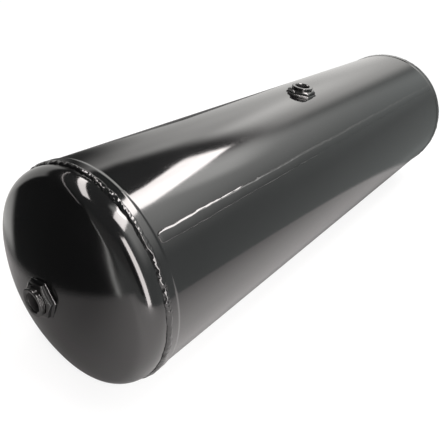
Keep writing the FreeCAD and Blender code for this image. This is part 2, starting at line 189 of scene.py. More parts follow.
class StageSettings(bpy.types.PropertyGroup):
    """Camera, floor and lights"""

    camera_place: FloatVectorProperty(
        name="Camera", description="Place of the camera", subtype="TRANSLATION",
        unit="LENGTH", default=(-0.6560, -0.3261, 0.4795), precision=4,
    )
    camera_turn: FloatVectorProperty(
        name="Camera turn", description="Rotation of the camera", subtype="EULER",
        unit="ROTATION", default=[math.radians(a) for a in (59.68, -7.60, -51.41)],
    )
    lens: FloatProperty(name="Lens", description="Focal length in mm", default=40.4, min=1.0)
    rise: FloatProperty(name="Rise", description="Upright shift of the lens", default=-0.0706)
    floor_tone: colour("Floor", "Colour of the floor", (0.84, 0.84, 0.845))
    floor_size: length("Floor size", "Half the side of the floor", 9.0)
    floor_white: share("Floor white", "How much of the seen floor is plain white", 0.8)
    table_right: length("Table right", "How far the lit table reaches to the right", 0.43)
    table_left: length("Table left", "How far the lit table reaches past the front head", 0.48)


# ---- small builders ---------------------------------------------------------------------
def add_node(tree, kind, inputs=None, **settings):
    """Adds a node. Each input takes a number or the output that feeds it."""
    made = tree.nodes.new(kind)
    for name, value in settings.items():
        setattr(made, name, value)
    for key, value in (inputs or {}).items():
        if isinstance(value, bpy.types.NodeSocket):
            tree.links.new(value, made.inputs[key])
        else:
            made.inputs[key].default_value = value
    return made


def maths(tree, operation, *values):
    """A maths node on one or two numbers or outputs; returns its result."""
    feeds = dict(enumerate(values))
    return add_node(tree, "ShaderNodeMath", feeds, operation=operation).outputs[0]


def product(tree, first, *others):
    """Multiplies numbers or outputs, in order."""
    for other in others:
        first = maths(tree, "MULTIPLY", first, other)
    return first


def vector_maths(tree, operation, *values, result="Vector", **inputs):
    """A vector maths node; returns the named result."""
    feeds = {**dict(enumerate(values)), **inputs}
    node = add_node(tree, "ShaderNodeVectorMath", feeds, operation=operation)
    return node.outputs[result]


def smooth_step(tree, value, low, high):
    """A soft step of value from 0 at low to 1 at high."""
    step = {"Value": value, "From Min": low, "From Max": high}
    return add_node(tree, "ShaderNodeMapRange", step, interpolation_type="SMOOTHSTEP").outputs[0]


def add_socket(tree, name, kind, default=None, out=False):
    """Adds an input or output socket to a node group."""
    socket = tree.interface.new_socket(
        name=name, in_out="OUTPUT" if out else "INPUT", socket_type=f"NodeSocket{kind}"
    )
    if default is not None:
        socket.default_value = default


def new_tree(name, kind, inputs, outputs):
    """A node group with its sockets, given as (name, kind, default)."""
    tree = bpy.data.node_groups.new(name, kind)
    for socket in inputs:
        add_socket(tree, *socket)
    for socket in outputs:
        add_socket(tree, *socket, out=True)
    return tree, add_node(tree, "NodeGroupInput").outputs, add_node(tree, "NodeGroupOutput").inputs


def built_once(build):
    """Builds a node group under its builder's name, and finds it there from then on."""
    def find():
        name = build.__name__
        return bpy.data.node_groups.get(name) or build(name)
    return find


def new_object(name, data):
    """Adds an object to the scene."""
    made = bpy.data.objects.new(name, data)
    bpy.context.scene.collection.objects.link(made)
    return made


def loop_mesh(name, rings):
    """A closed skin through rings of equally many points; the last ring joins the first."""
    size = len(rings[0])
    points = [point for ring in rings for point in ring]
    faces = []
    for row in range(len(rings)):
        below = row * size
        above = (row + 1) % len(rings) * size
        for place in range(size):
            following = (place + 1) % size
            faces.append((below + place, below + following, above + following, above + place))
    mesh = bpy.data.meshes.new(name)
    mesh.from_pydata(points, [], faces)
    return mesh


def set_attribute(mesh, name, kind, values):
    """Stores one value for each point of the mesh."""
    layer = mesh.attributes.new(name, kind, "POINT")
    if kind == "FLOAT_VECTOR":
        layer.data.foreach_set("vector", [number for value in values for number in value])
    else:
        layer.data.foreach_set("value", values)


def shaped(name, mesh, tree, values):
    """Runs a geometry tree on the mesh and returns the result as a plain mesh."""
    carrier = new_object(f"{name}_maker", mesh)
    modifier = carrier.modifiers.new(tree.name, "NODES")
    modifier.node_group = tree
    sockets = {item.name: item.identifier for item in tree.interface.items_tree}
    for socket, value in values.items():
        modifier[sockets[socket]] = value
    bpy.context.view_layer.update()
    evaluated = carrier.evaluated_get(bpy.context.evaluated_depsgraph_get())
    result = bpy.data.meshes.new_from_object(evaluated)
    carrier.modifiers.remove(modifier)
    bpy.data.objects.remove(carrier)
    bpy.data.meshes.remove(mesh)
    result.name = name
    return result


def finish_piece(mesh, name, nodes, material, sharp_angle=None):
    """Makes the object of a finished mesh, hangs it under the root body and hides the parts that it
    stands for.
    """
    mesh.materials.clear()
    mesh.materials.append(material)
    mesh.shade_smooth()
    if sharp_angle:
        mesh.set_sharp_from_angle(angle=sharp_angle)
    piece = new_object(name, mesh)
    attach(piece, "root")
    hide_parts(*nodes)
    return piece


# ---- geometry trees ---------------------------------------------------------------------
MERGE_DISTANCE = 0.00001
# how far a ripple strays from its even place, in ripples
RIPPLE_STRAY = 0.45
# the thread's flank, from the crest at 0 to the root at 1
FLANK_START, FLANK_END = 0.16, 0.88


@built_once
def turned_plate(name):
    """Turns a closed section round the tank's axis.

    The section comes in as a mesh whose points are (along, 0, radius), in order. A grid
    has one row for each point and one column for each step round; each grid point takes
    its row's section point, turned by its column's angle.
    """
    inputs = [
        ("Geometry", "Geometry"), ("Segments", "Int", 96), ("Axis Height", "Float", 0.0),
        ("Material", "Material"),
    ]
    tree, given, result = new_tree(name, "GeometryNodeTree", inputs, [("Geometry", "Geometry")])
    section = given["Geometry"]
    size = add_node(tree, "GeometryNodeAttributeDomainSize", {"Geometry": section})
    corners = size.outputs["Point Count"]
    columns = maths(tree, "ADD", given["Segments"], 1)
    rows = maths(tree, "ADD", corners, 1)
    grid = add_node(tree, "GeometryNodeMeshGrid", {"Vertices X": rows, "Vertices Y": columns})
    index = add_node(tree, "GeometryNodeInputIndex").outputs[0]
    row = maths(tree, "FLOOR", maths(tree, "DIVIDE", maths(tree, "ADD", index, 0.5), columns))
    column = maths(tree, "SUBTRACT", index, product(tree, row, columns))
    sampled = add_node(
        tree, "GeometryNodeSampleIndex",
        {"Geometry": section, "Index": maths(tree, "MODULO", row, corners)},
        data_type="FLOAT_VECTOR",
    )
    position = add_node(tree, "GeometryNodeInputPosition").outputs[0]
    tree.links.new(position, sampled.inputs["Value"])
    along, _, radius = add_node(
        tree, "ShaderNodeSeparateXYZ", {0: sampled.outputs[0]}
    ).outputs
    turn = maths(tree, "DIVIDE", product(tree, column, FULL_TURN), given["Segments"])
    sideways = product(tree, maths(tree, "SINE", turn), radius)
    upwards = product(tree, maths(tree, "COSINE", turn), radius)
    place = add_node(tree, "ShaderNodeCombineXYZ", {
        "X": along, "Y": sideways, "Z": maths(tree, "ADD", upwards, given["Axis Height"]),
    })
    moved = add_node(
        tree, "GeometryNodeSetPosition",
        {"Geometry": grid.outputs["Mesh"], "Position": place.outputs[0]},
    )
    merged = add_node(
        tree, "GeometryNodeMergeByDistance",
        {"Geometry": moved.outputs[0], "Distance": MERGE_DISTANCE},
    )
    finish_tree(tree, merged.outputs[0], given["Material"], result)
    return tree


def finish_tree(tree, geometry, material, result):
    """Ends a geometry tree with real geometry and its material."""
    real = add_node(tree, "GeometryNodeRealizeInstances", {"Geometry": geometry})
    painted = add_node(
        tree, "GeometryNodeSetMaterial", {"Geometry": real.outputs[0], "Material": material}
    )
    tree.links.new(painted.outputs[0], result["Geometry"])


def named(tree, name, kind="FLOAT"):
    """Reads an attribute of the mesh."""
    node = add_node(tree, "GeometryNodeInputNamedAttribute", {"Name": name}, data_type=kind)
    return node.outputs["Attribute"]


@built_once
def weld_ripples(name):
    """Presses ripples into a smooth bead and lets its toes wander.

    The bead's points carry how far along it they are (run), where they lie between its
    toes (across, from -1 to 1), how free they are to move (lift) and the way along the
    plate, square to the bead (side).
    """
    inputs = [
        ("Geometry", "Geometry"), ("Pitch", "Float", 0.003), ("Depth", "Float", 0.0002),
        ("Crescent", "Float", 0.6), ("Unevenness", "Float", 0.0002),
        ("Uneven Size", "Float", 0.02), ("Wander", "Float", 0.0004),
        ("Wander Size", "Float", 0.01), ("Seed", "Float", 0.0), ("Material", "Material"),
    ]
    tree, given, result = new_tree(name, "GeometryNodeTree", inputs, [("Geometry", "Geometry")])
    run, across, lift = (named(tree, word) for word in ("run", "across", "lift"))
    side = named(tree, "side", "FLOAT_VECTOR")
    position = add_node(tree, "GeometryNodeInputPosition").outputs[0]

    def unevenness(size, offset):
        """A smooth number from -1 to 1 that changes over the given size."""
        scaled = vector_maths(tree, "DIVIDE", position, add_node(
            tree, "ShaderNodeCombineXYZ", {"X": size, "Y": size, "Z": size}).outputs[0])
        seeded = vector_maths(tree, "ADD", scaled, add_node(
            tree, "ShaderNodeCombineXYZ",
            {"X": maths(tree, "ADD", given["Seed"], offset)}).outputs[0])
        noise = add_node(
            tree, "ShaderNodeTexNoise", {"Vector": seeded, "Scale": 1.0, "Detail": 1.0},
            normalize=False,
        )
        return noise.outputs["Fac"]

    # each ripple is a rounded scallop with a sharp crease, bowed back towards the toes; the
    # offsets of 31, 3 and 17 keep the three kinds of unevenness apart
    bow = product(tree, across, across, given["Crescent"])
    stretch = product(tree, unevenness(given["Wander Size"], 31.0), RIPPLE_STRAY)
    turns = maths(tree, "ADD", maths(tree, "DIVIDE", run, given["Pitch"]), bow)
    phase = maths(tree, "FRACT", maths(tree, "ADD", turns, stretch))
    rest = maths(tree, "SUBTRACT", 1.0, phase)
    scallop = product(tree, phase, rest, 4.0)
    crease = product(tree, maths(tree, "SUBTRACT", scallop, 1.0), given["Depth"])
    slow = maths(tree, "ABSOLUTE", unevenness(given["Uneven Size"], 3.0))
    sunk = product(tree, maths(tree, "MINIMUM", slow, 1.0), given["Unevenness"])
    lowered = product(tree, maths(tree, "SUBTRACT", crease, sunk), lift)
    normal = add_node(tree, "GeometryNodeInputNormal").outputs[0]
    down = vector_maths(tree, "SCALE", normal, Scale=lowered)
    wander = product(tree, unevenness(given["Wander Size"], 17.0), given["Wander"])
    slide = vector_maths(tree, "SCALE", side, Scale=wander)
    moved = add_node(tree, "GeometryNodeSetPosition", {
        "Geometry": given["Geometry"], "Offset": vector_maths(tree, "ADD", down, slide),
    })
    finish_tree(tree, moved.outputs[0], given["Material"], result)
    return tree


@built_once
def screw_thread(name):
    """Cuts a screw thread into a bore about Z; the points' thread weight says where."""
    inputs = [
        ("Geometry", "Geometry"), ("Pitch", "Float", 0.0015), ("Depth", "Float", 0.0008),
        ("Material", "Material"),
    ]
    tree, given, result = new_tree(name, "GeometryNodeTree", inputs, [("Geometry", "Geometry")])
    position = add_node(tree, "GeometryNodeInputPosition").outputs[0]
    x, y, z = add_node(tree, "ShaderNodeSeparateXYZ", {0: position}).outputs
    turn = maths(tree, "DIVIDE", maths(tree, "ARCTAN2", y, x), FULL_TURN)
    turns = maths(tree, "ADD", maths(tree, "DIVIDE", z, given["Pitch"]), turn)
    phase = maths(tree, "FRACT", turns)
    ridge = maths(tree, "ABSOLUTE", maths(tree, "SUBTRACT", product(tree, phase, 2), 1))
    # flat crests and rounded roots, with straight flanks between them
    flank = add_node(tree, "ShaderNodeMapRange", {
        "Value": ridge, "From Min": FLANK_START, "From Max": FLANK_END}).outputs[0]
    depth = product(tree, given["Depth"], named(tree, "thread"), flank)
    outward = vector_maths(tree, "NORMALIZE", add_node(
        tree, "ShaderNodeCombineXYZ", {"X": x, "Y": y}).outputs[0])
    moved = add_node(tree, "GeometryNodeSetPosition", {
        "Geometry": given["Geometry"],
        "Offset": vector_maths(tree, "SCALE", outward, Scale=depth),
    })
    finish_tree(tree, moved.outputs[0], given["Material"], result)
    return tree


# ---- finishes ---------------------------------------------------------------------------
@built_once
def paint_film(name):
    """Height of a sprayed film: fine orange peel on slow waves, with a few dust nibs."""
    inputs = [
        ("Vector", "Vector"), ("Peel Size", "Float", 0.002), ("Peel Depth", "Float", 0.000002),
        ("Flow Size", "Float", 0.02), ("Flow Depth", "Float", 0.00001),
        ("Nib Size", "Float", 0.0009), ("Nib Height", "Float", 0.00004),
        ("Nib Spacing", "Float", 0.013),
    ]
    tree, given, result = new_tree(name, "ShaderNodeTree", inputs, [("Height", "Float")])

    def waves(size, depth, detail):
        scale = maths(tree, "DIVIDE", 1.0, given[size])
        noise = add_node(tree, "ShaderNodeTexNoise", {
            "Vector": given["Vector"], "Scale": scale, "Detail": detail, "Roughness": 0.45})
        return product(tree, noise.outputs["Fac"], given[depth])

    cells = add_node(tree, "ShaderNodeTexVoronoi", {
        "Vector": given["Vector"], "Scale": maths(tree, "DIVIDE", 1.0, given["Nib Spacing"])})
    reach = maths(tree, "DIVIDE", given["Nib Size"], given["Nib Spacing"])
    near = maths(tree, "DIVIDE", cells.outputs["Distance"], reach)
    nib = maths(tree, "SUBTRACT", 1.0, smooth_step(tree, near, 0.0, 1.0))
    chosen = add_node(tree, "ShaderNodeSeparateColor", {0: cells.outputs["Color"]}).outputs[0]
    kept = maths(tree, "GREATER_THAN", chosen, 0.45)
    nibs = product(tree, nib, kept, given["Nib Height"])
    film = maths(tree, "ADD", waves("Peel Size", "Peel Depth", 2.0),
                 waves("Flow Size", "Flow Depth", 1.0))
    tree.links.new(maths(tree, "ADD", film, nibs), result["Height"])
    return tree


@built_once
def handling_marks(name):
    """Soft rubbed patches and fine straight hairlines, as masks."""
    inputs = [("Vector", "Vector"), ("Patch Size", "Float", 0.09), ("Line Size", "Float", 0.0009)]
    outputs = [("Patches", "Float"), ("Hairlines", "Float")]
    tree, given, result = new_tree(name, "ShaderNodeTree", inputs, outputs)
    patches = add_node(tree, "ShaderNodeTexNoise", {
        "Vector": given["Vector"], "Scale": maths(tree, "DIVIDE", 1.0, given["Patch Size"]),
        "Detail": 4.0, "Roughness": 0.6})
    tree.links.new(smooth_step(tree, patches.outputs["Fac"], 0.42, 0.72), result["Patches"])
    # hairlines are noise drawn out along the tank
    drawn = add_node(tree, "ShaderNodeMapping", {
        "Vector": given["Vector"], "Rotation": (0.0, 0.12, 0.2), "Scale": (0.03, 1.0, 1.0)})
    lines = add_node(tree, "ShaderNodeTexNoise", {
        "Vector": drawn.outputs[0], "Scale": maths(tree, "DIVIDE", 1.0, given["Line Size"]),
        "Detail": 2.0})
    thin = smooth_step(tree, lines.outputs["Fac"], 0.66, 0.74)
    rubbed = smooth_step(tree, patches.outputs["Fac"], 0.5, 0.62)
    tree.links.new(product(tree, thin, rubbed), result["Hairlines"])
    return tree


@built_once
def settled_dust(name):
    """Fine dust that settles on what faces up, as a mask."""
    inputs = [("Vector", "Vector"), ("Grain Size", "Float", 0.0008), ("Amount", "Float", 0.2)]
    tree, given, result = new_tree(name, "ShaderNodeTree", inputs, [("Dust", "Float")])
    normal = add_node(tree, "ShaderNodeNewGeometry").outputs["Normal"]
    upward = add_node(tree, "ShaderNodeSeparateXYZ", {0: normal}).outputs[2]
    level = smooth_step(tree, upward, 0.35, 1.0)
    grains = add_node(tree, "ShaderNodeTexNoise", {
        "Vector": given["Vector"], "Scale": maths(tree, "DIVIDE", 1.0, given["Grain Size"]),
        "Detail": 3.0, "Roughness": 0.7})
    specks = smooth_step(tree, grains.outputs["Fac"], 0.58, 0.78)
    dust = product(tree, level, specks, given["Amount"])
    tree.links.new(dust, result["Dust"])
    return tree


def place_group(tree, group, inputs):
    """Places a shader node group with its own values; returns its outputs."""
    return add_node(tree, "ShaderNodeGroup", inputs, node_tree=group).outputs


def mix_colour(tree, factor, low, high):
    """Blends two colours, given as triples or outputs."""
    # the node's colours are its inputs 6 and 7, and the blended colour is its output 2
    feeds = {0: factor}
    for key, side in ((6, low), (7, high)):
        feeds[key] = side if isinstance(side, bpy.types.NodeSocket) else (*side, 1.0)
    node = add_node(tree, "ShaderNodeMix", feeds, data_type="RGBA", clamp_factor=True)
    return node.outputs[2]


PATCH_TONE = 1.35
DUST_AMOUNT = 0.03
PAINT_IOR = 1.52
# how much rougher the paint is where it is rubbed, scratched or dusty, and in a bore
RUBBED, SCRATCHED, DUSTY, BORED = 0.035, 0.10, 0.5, 0.6


def gloss_paint(name, roughness=1.0, peel=1.0, flow=1.0, nibs=1.0, edges=False):
    """Black gloss paint. The shares scale the common finish for one kind of piece.

    With edges, the mesh's edge mark thins the paint and its thread weight dulls it.
    """
    if name in bpy.data.materials:
        return bpy.data.materials[name]
    paint = bpy.context.scene.tank_paint
    material = bpy.data.materials.new(name)
    material.use_nodes = True
    tree = material.node_tree
    tree.nodes.clear()
    place = add_node(tree, "ShaderNodeTexCoord").outputs["Object"]
    film = place_group(tree, paint_film(), {
        "Vector": place, "Peel Size": paint.peel_size, "Peel Depth": paint.peel_depth * peel,
        "Flow Size": paint.flow_size, "Flow Depth": paint.flow_depth * flow,
        "Nib Height": paint.nib_height * nibs,
    })
    marks = place_group(tree, handling_marks(), {"Vector": place})
    settled = place_group(tree, settled_dust(), {"Vector": place, "Amount": DUST_AMOUNT})

    rubbed = [PATCH_TONE * part for part in paint.black]
    tone = mix_colour(tree, marks["Patches"], paint.black, rubbed)
    roughening = [
        (marks["Patches"], RUBBED), (marks["Hairlines"], SCRATCHED), (settled["Dust"], DUSTY),
    ]
    if edges:
        worn = add_node(tree, "ShaderNodeAttribute", attribute_name="edge").outputs["Fac"]
        tone = mix_colour(tree, worn, tone, paint.worn)
        bore = add_node(tree, "ShaderNodeAttribute", attribute_name="thread").outputs["Fac"]
        roughening.append((bore, BORED))
    tone = mix_colour(tree, settled["Dust"], tone, paint.dust)
    rough = paint.roughness * roughness
    for mask, gain in roughening:
        rough = maths(tree, "ADD", rough, product(tree, mask, gain))
    bump = add_node(tree, "ShaderNodeBump", {
        "Strength": 1.0, "Distance": 1.0, "Height": film["Height"]})
    shader = add_node(tree, "ShaderNodeBsdfPrincipled", {
        "Base Color": tone, "Roughness": rough, "IOR": PAINT_IOR, "Normal": bump.outputs[0]})
    output = add_node(tree, "ShaderNodeOutputMaterial", {"Surface": shader.outputs[0]})
    output.is_active_output = True
    return material


# ---- shell and heads --------------------------------------------------------------------
# steps along each stretch of a section
BEND_STEPS, LAP_STEPS, BARREL_STEPS = 7, 3, 40
FLANGE_STEPS, KNUCKLE_STEPS, CROWN_STEPS = 4, 20, 36
PORT_STEPS = 96


def arc_points(centre, radius, start, end, steps):
    """Points of an arc in the section plane, both ends included."""
    points = []
    for step in range(steps + 1):
        angle = start + (end - start) * step / steps
        points.append((
            centre[0] + radius * math.cos(angle), centre[1] + radius * math.sin(angle)
        ))
    return points


def line_points(start, end, steps):
    """Points between two ends, both left out."""
    return [
        tuple(a + (b - a) * step / steps for a, b in zip(start, end))
        for step in range(1, steps)
    ]


def mirrored(points):
    """A section's points at the other end of the tank, in the order that keeps it closed."""
    return [(-along, radius) for along, radius in reversed(points)]


def section_mesh(name, points):
    """The closed section as a mesh of edges, for the tree that turns it."""
    mesh = bpy.data.meshes.new(name)
    edges = [(row, (row + 1) % len(points)) for row in range(len(points))]
    mesh.from_pydata([(along, 0.0, radius) for along, radius in points], edges, [])
    return mesh


def shell_side(radius, step, shell):
    """One side of the shell's section, from the front end to the rear end."""
    blend_start = HALF_LENGTH - shell.lap_length - shell.blend_length
    lap_start = HALF_LENGTH - shell.lap_length
    bend = (shell.blend_length**2 + step**2) / (4 * step)
    half_turn = math.asin(shell.blend_length / 2 / bend)
    up, down = math.pi / 2, -math.pi / 2
    outer = radius + step
    rear = arc_points((blend_start, radius + bend), bend, down, down + half_turn, BEND_STEPS)
    rear += arc_points((lap_start, outer - bend), bend, up + half_turn, up, BEND_STEPS)[1:]
    rear += line_points(rear[-1], (HALF_LENGTH, outer), LAP_STEPS)
    rear.append((HALF_LENGTH, outer))
    front = mirrored(rear)
    return front + line_points(front[-1], rear[0], BARREL_STEPS) + rear


def shell_section(shell):
    """The closed section of the shell plate: outside from front to rear, inside back."""
    step = LAP_RADIUS - shell.radius
    outside = shell_side(shell.radius, step, shell)
    inside = shell_side(shell.radius - shell.wall, step, shell)
    return outside + inside[::-1]


def crown_drop(head):
    """How far the middle of the dish lies behind the end of the head's flange."""
    return math.sqrt(
        (head.crown_radius - head.knuckle_radius) ** 2
        - (FLANGE_RADIUS - head.knuckle_radius) ** 2
    )


def head_section(head, port_radius):
    """The closed section of the rear head, from its inner edge out over the dish."""
    corner = HALF_LENGTH + head.flange
    knuckle_middle = (corner, FLANGE_RADIUS - head.knuckle_radius)
    drop = crown_drop(head)
    crown_middle = (corner - drop, 0.0)
    joint = math.atan2(knuckle_middle[1], drop)
    inner_edge = HALF_LENGTH - head.insert

    def side(inwards):
        crown = head.crown_radius - inwards
        points = [(inner_edge, FLANGE_RADIUS - inwards)]
        points += line_points(points[0], (corner, FLANGE_RADIUS - inwards), FLANGE_STEPS)
        knuckle = head.knuckle_radius - inwards
        points += arc_points(knuckle_middle, knuckle, math.pi / 2, joint, KNUCKLE_STEPS)
        port = math.asin(port_radius / crown)
        points += arc_points(crown_middle, crown, joint, port, CROWN_STEPS)[1:]
        return points

    return side(0.0) + side(head.wall)[::-1]


def turned(name, section, material):
    """The plate that a section makes when it is turned about the tank's axis."""
    segments = bpy.context.scene.tank_shell.segments
    values = {"Segments": segments, "Axis Height": AXIS_HEIGHT, "Material": material}
    return shaped(name, section_mesh(f"{name}_section", section), turned_plate(), values)


def cut_port(mesh, radius):
    """Cuts a round upright hole through the top of the shell."""
    steps = PORT_STEPS
    turns = [FULL_TURN * step / steps for step in range(steps)]
    points = []
    for height in (AXIS_HEIGHT, AXIS_HEIGHT + 2 * radius + LAP_RADIUS):
        points += [(radius * math.cos(turn), radius * math.sin(turn), height) for turn in turns]
    walls = [(k, (k + 1) % steps, steps + (k + 1) % steps, steps + k) for k in range(steps)]
    lids = [tuple(reversed(range(steps))), tuple(range(steps, 2 * steps))]
    tool = bpy.data.meshes.new("port_tool")
    tool.from_pydata(points, [], walls + lids)
    cutter = new_object("port_tool", tool)
    carrier = new_object("shell_cut", mesh)
    modifier = carrier.modifiers.new("port", "BOOLEAN")
    modifier.operation = "DIFFERENCE"
    modifier.solver = "EXACT"
    modifier.object = cutter
    bpy.context.view_layer.update()
    evaluated = carrier.evaluated_get(bpy.context.evaluated_depsgraph_get())
    result = bpy.data.meshes.new_from_object(evaluated)
    bpy.data.objects.remove(carrier)
    bpy.data.objects.remove(cutter)
    return result


def true_normals(mesh, radius, reach):
    """Gives the round plate about the port its exact normals, so that it shines evenly."""
    near, steep = 0.0002, 0.2
    normals = [(0.0, 0.0, 0.0)] * len(mesh.loops)
    for face in mesh.polygons:
        middle = face.center
        spread = math.hypot(middle.y, middle.z - AXIS_HEIGHT)
        if abs(middle.x) > reach or abs(spread - radius) > near:
            continue
        if abs(face.normal.x) > steep:
            continue
        for corner in face.loop_indices:
            point = mesh.vertices[mesh.loops[corner].vertex_index].co
            normals[corner] = Vector((0.0, point.y, point.z - AXIS_HEIGHT)).normalized()
    mesh.normals_split_custom_set(normals)


class TANK_OT_shell(bpy.types.Operator):
    """Builds the rolled shell plate with its expanded ends and its port hole"""

    bl_idname = "tank.shell"
    bl_label = "Shell plate"

    def execute(self, context):
        shell = context.scene.tank_shell
        boss = context.scene.tank_boss
        material = gloss_paint("shell_gloss")
        name = "shell_skin"
        mesh = turned(name, shell_section(shell), material)
        mesh = cut_port(mesh, boss.spigot_radius + boss.port_gap)
        piece = finish_piece(mesh, name, ["shell_plate"], material, SHARP_PLATE)
        true_normals(piece.data, shell.radius, HALF_LENGTH / 2)
        return {"FINISHED"}


class TANK_OT_heads(bpy.types.Operator):
    """Builds the two dished heads"""

    bl_idname = "tank.heads"
    bl_label = "Dished heads"

    def execute(self, context):
        head = context.scene.tank_head
        boss = context.scene.tank_boss
        material = gloss_paint("head_gloss", flow=1.2)
        rear = head_section(head, boss.spigot_radius + boss.port_gap)
        for node, section in (("head_front", mirrored(rear)), ("head_rear", rear)):
            name = f"{node}_skin"
            mesh = turned(name, section, material)
            finish_piece(mesh, name, [node], material, SHARP_PLATE)
        return {"FINISHED"}


# ---- weld beads -------------------------------------------------------------------------
# how the ripples of each weld bow, sink and stray, by the ripple tree's inputs
GIRTH_STRAY = {
    "Crescent": 0.9, "Unevenness": 0.0006, "Uneven Size": 0.011,
    "Wander": 0.0014, "Wander Size": 0.009,
}
SEAM_STRAY = {
    "Crescent": 1.2, "Unevenness": 0.00008, "Uneven Size": 0.03,
    "Wander": 0.0009, "Wander Size": 0.024,
}
BOSS_STRAY = {
    "Crescent": 0.5, "Unevenness": 0.00008, "Uneven Size": 0.009,
    "Wander": 0.00012, "Wander Size": 0.004,
}
# share of a bead's half width over which its face comes free of the toe
TOE_SHARE = 0.3
GIRTH_STEPS, GIRTH_FACE_STEPS = 1300, 16
SEAM_ROWS, SEAM_STEPS = 1500, 48
FILLET_STEPS = 12


def bead_mesh(name, rows, closed):
    """A smooth bead through rows of points.

    A point is (place, run, across, lift, side), as the ripple tree reads them. The last row
    of a closed bead joins its first, and an open bead gets a lid at both ends.
    """
    size = len(rows[0])
    points, runs, acrosses, lifts, sides = zip(*(point for row in rows for point in row))
    faces = []
    for row in range(len(rows) if closed else len(rows) - 1):
        below, above = row * size, (row + 1) % len(rows) * size
        for place in range(size):
            following = (place + 1) % size
            faces.append((below + place, above + place, above + following, below + following))
    if not closed:
        faces.append(tuple(range(size)))
        faces.append(tuple(reversed(range((len(rows) - 1) * size, len(rows) * size))))
    mesh = bpy.data.meshes.new(name)
    mesh.from_pydata(points, [], faces)
    for word, values in (("run", runs), ("across", acrosses), ("lift", lifts)):
        set_attribute(mesh, word, "FLOAT", values)
    set_attribute(mesh, "side", "FLOAT_VECTOR", sides)
    return mesh


def swept_rows(stations, section):
    """A bead's rows: its section of (reach, height, across, lift) at each station."""
    return [
        [(place + side * reach + out * height, run, across, lift, side)
         for reach, height, across, lift in section]
        for place, side, out, run in stations
    ]


def lift_at(across):
    """How free a point of a bead's face is to move: fixed at the toes, free between them."""
    return min(1.0, (1.0 - abs(across)) / TOE_SHARE)


def finish_bead(name, node, mesh, ripples, seed, place=None, sharp_angle=None):
    """Presses the ripples into a smooth bead and makes its piece."""
    material = gloss_paint("weld_gloss", roughness=1.1, peel=2.0, flow=1.5)
    values = {**ripples, "Seed": float(seed), "Material": material}
    mesh = shaped(name, mesh, weld_ripples(), values)
    if place is not None:
        mesh.transform(place)
    finish_piece(mesh, name, [node], material, sharp_angle)


def girth_section(weld):
    """Section of an end weld: along the tank and out from the tank's axis."""
    lap, flange = LAP_RADIUS, FLANGE_RADIUS
    toe = (-weld.girth_toe, lap)
    leg = (weld.girth_leg, flange)
    chord = math.dist(toe, leg)
    depth = math.sqrt(weld.girth_face**2 - (chord / 2) ** 2)
    middle = ((toe[0] + leg[0]) / 2, (toe[1] + leg[1]) / 2)
    centre = (
        middle[0] - depth * (lap - flange) / chord,
        middle[1] - depth * (leg[0] - toe[0]) / chord,
    )
    start = math.atan2(leg[1] - centre[1], leg[0] - centre[0])
    end = math.atan2(toe[1] - centre[1], toe[0] - centre[0])
    face = arc_points(centre, weld.girth_face, start, end, GIRTH_FACE_STEPS)
    section = []
    for step, (along, out) in enumerate(face):
        across = 1.0 - 2.0 * step / (len(face) - 1)
        section.append((along, out, across, lift_at(across)))
    section.append((0.0, lap, 0.0, 0.0))
    section.append((0.0, flange, 0.0, 0.0))
    return section


class TANK_OT_girth_welds(bpy.types.Operator):
    """Builds the rippled lap welds round both ends"""

    bl_idname = "tank.girth_welds"
    bl_label = "End welds"

    def execute(self, context):
        weld = context.scene.tank_weld
        section = girth_section(weld)
        girth = LAP_RADIUS * FULL_TURN
        whole = round(girth / weld.girth_pitch)
        ripples = {"Pitch": girth / whole, "Depth": weld.girth_depth, **GIRTH_STRAY}
        for number, (side, facing) in enumerate((("front", -1), ("rear", 1))):
            place = Vector((facing * HALF_LENGTH, 0.0, AXIS_HEIGHT))
            along = Vector((facing, 0.0, 0.0))
            stations = []
            for step in range(GIRTH_STEPS):
                turn = FULL_TURN * step / GIRTH_STEPS * facing
                out = Vector((0.0, math.sin(turn), math.cos(turn)))
                stations.append((place, along, out, girth * step / GIRTH_STEPS))
            mesh = bead_mesh("girth_path", swept_rows(stations, section), True)
            finish_bead(f"girth_bead_{side}", f"girth_weld_{side}", mesh, ripples,
                        weld.seed + number)
        return {"FINISHED"}


def seam_section(weld, shell_radius):
    """Section of the seam: a flat crown, with a steep shoulder below and an easy one above."""
    steep, easy = 0.16, 0.38
    crown_fall, shoulder_curve = 0.16, 1.35
    root_depth, root_width = 0.0006, 0.98
    half = weld.seam_width / 2
    section = []
    for step in range(SEAM_STEPS + 1):
        across = 1.0 - 2.0 * step / SEAM_STEPS
        reach = across * half
        shoulder = max(0.0, 1.0 - (1.0 - abs(across)) / (steep if across > 0.0 else easy))
        shoulder_fall = (1.0 - crown_fall) * shoulder**shoulder_curve
        rise = weld.seam_height * (1.0 - shoulder_fall - crown_fall * across**2)
        height = math.sqrt(shell_radius**2 - reach**2) - shell_radius + rise
        section.append((reach, height, across, lift_at(across)))
    for reach in (-half, 0.0, half):
        sunk = -root_depth - reach**2 / 2 / shell_radius
        section.append((reach * root_width, sunk, 0.0, 0.0))
    return section


def round_off_ends(mesh, side, out, shell_radius):
    """Rounds off both ends of the seam and runs them down to the plate."""
    end_length, end_width, end_sink = 0.004, 0.25, 0.0003
    low, high = SEAM_LOW.x, SEAM_HIGH.x
    for vertex in mesh.vertices:
        along = vertex.co.x
        gap = min(along - low, high - along)
        if gap >= end_length:
            continue
        share_in = math.sqrt(max(0.0, 1.0 - (1.0 - gap / end_length) ** 2))
        axis = Vector((along, 0.0, AXIS_HEIGHT))
        offset = vertex.co - axis
        reach, height = offset.dot(side), offset.dot(out)
        reach *= end_width + (1.0 - end_width) * share_in
        ground = math.sqrt(shell_radius**2 - reach**2)
        height = ground - end_sink + (height - ground + end_sink) * share_in
        vertex.co = axis + side * reach + out * height


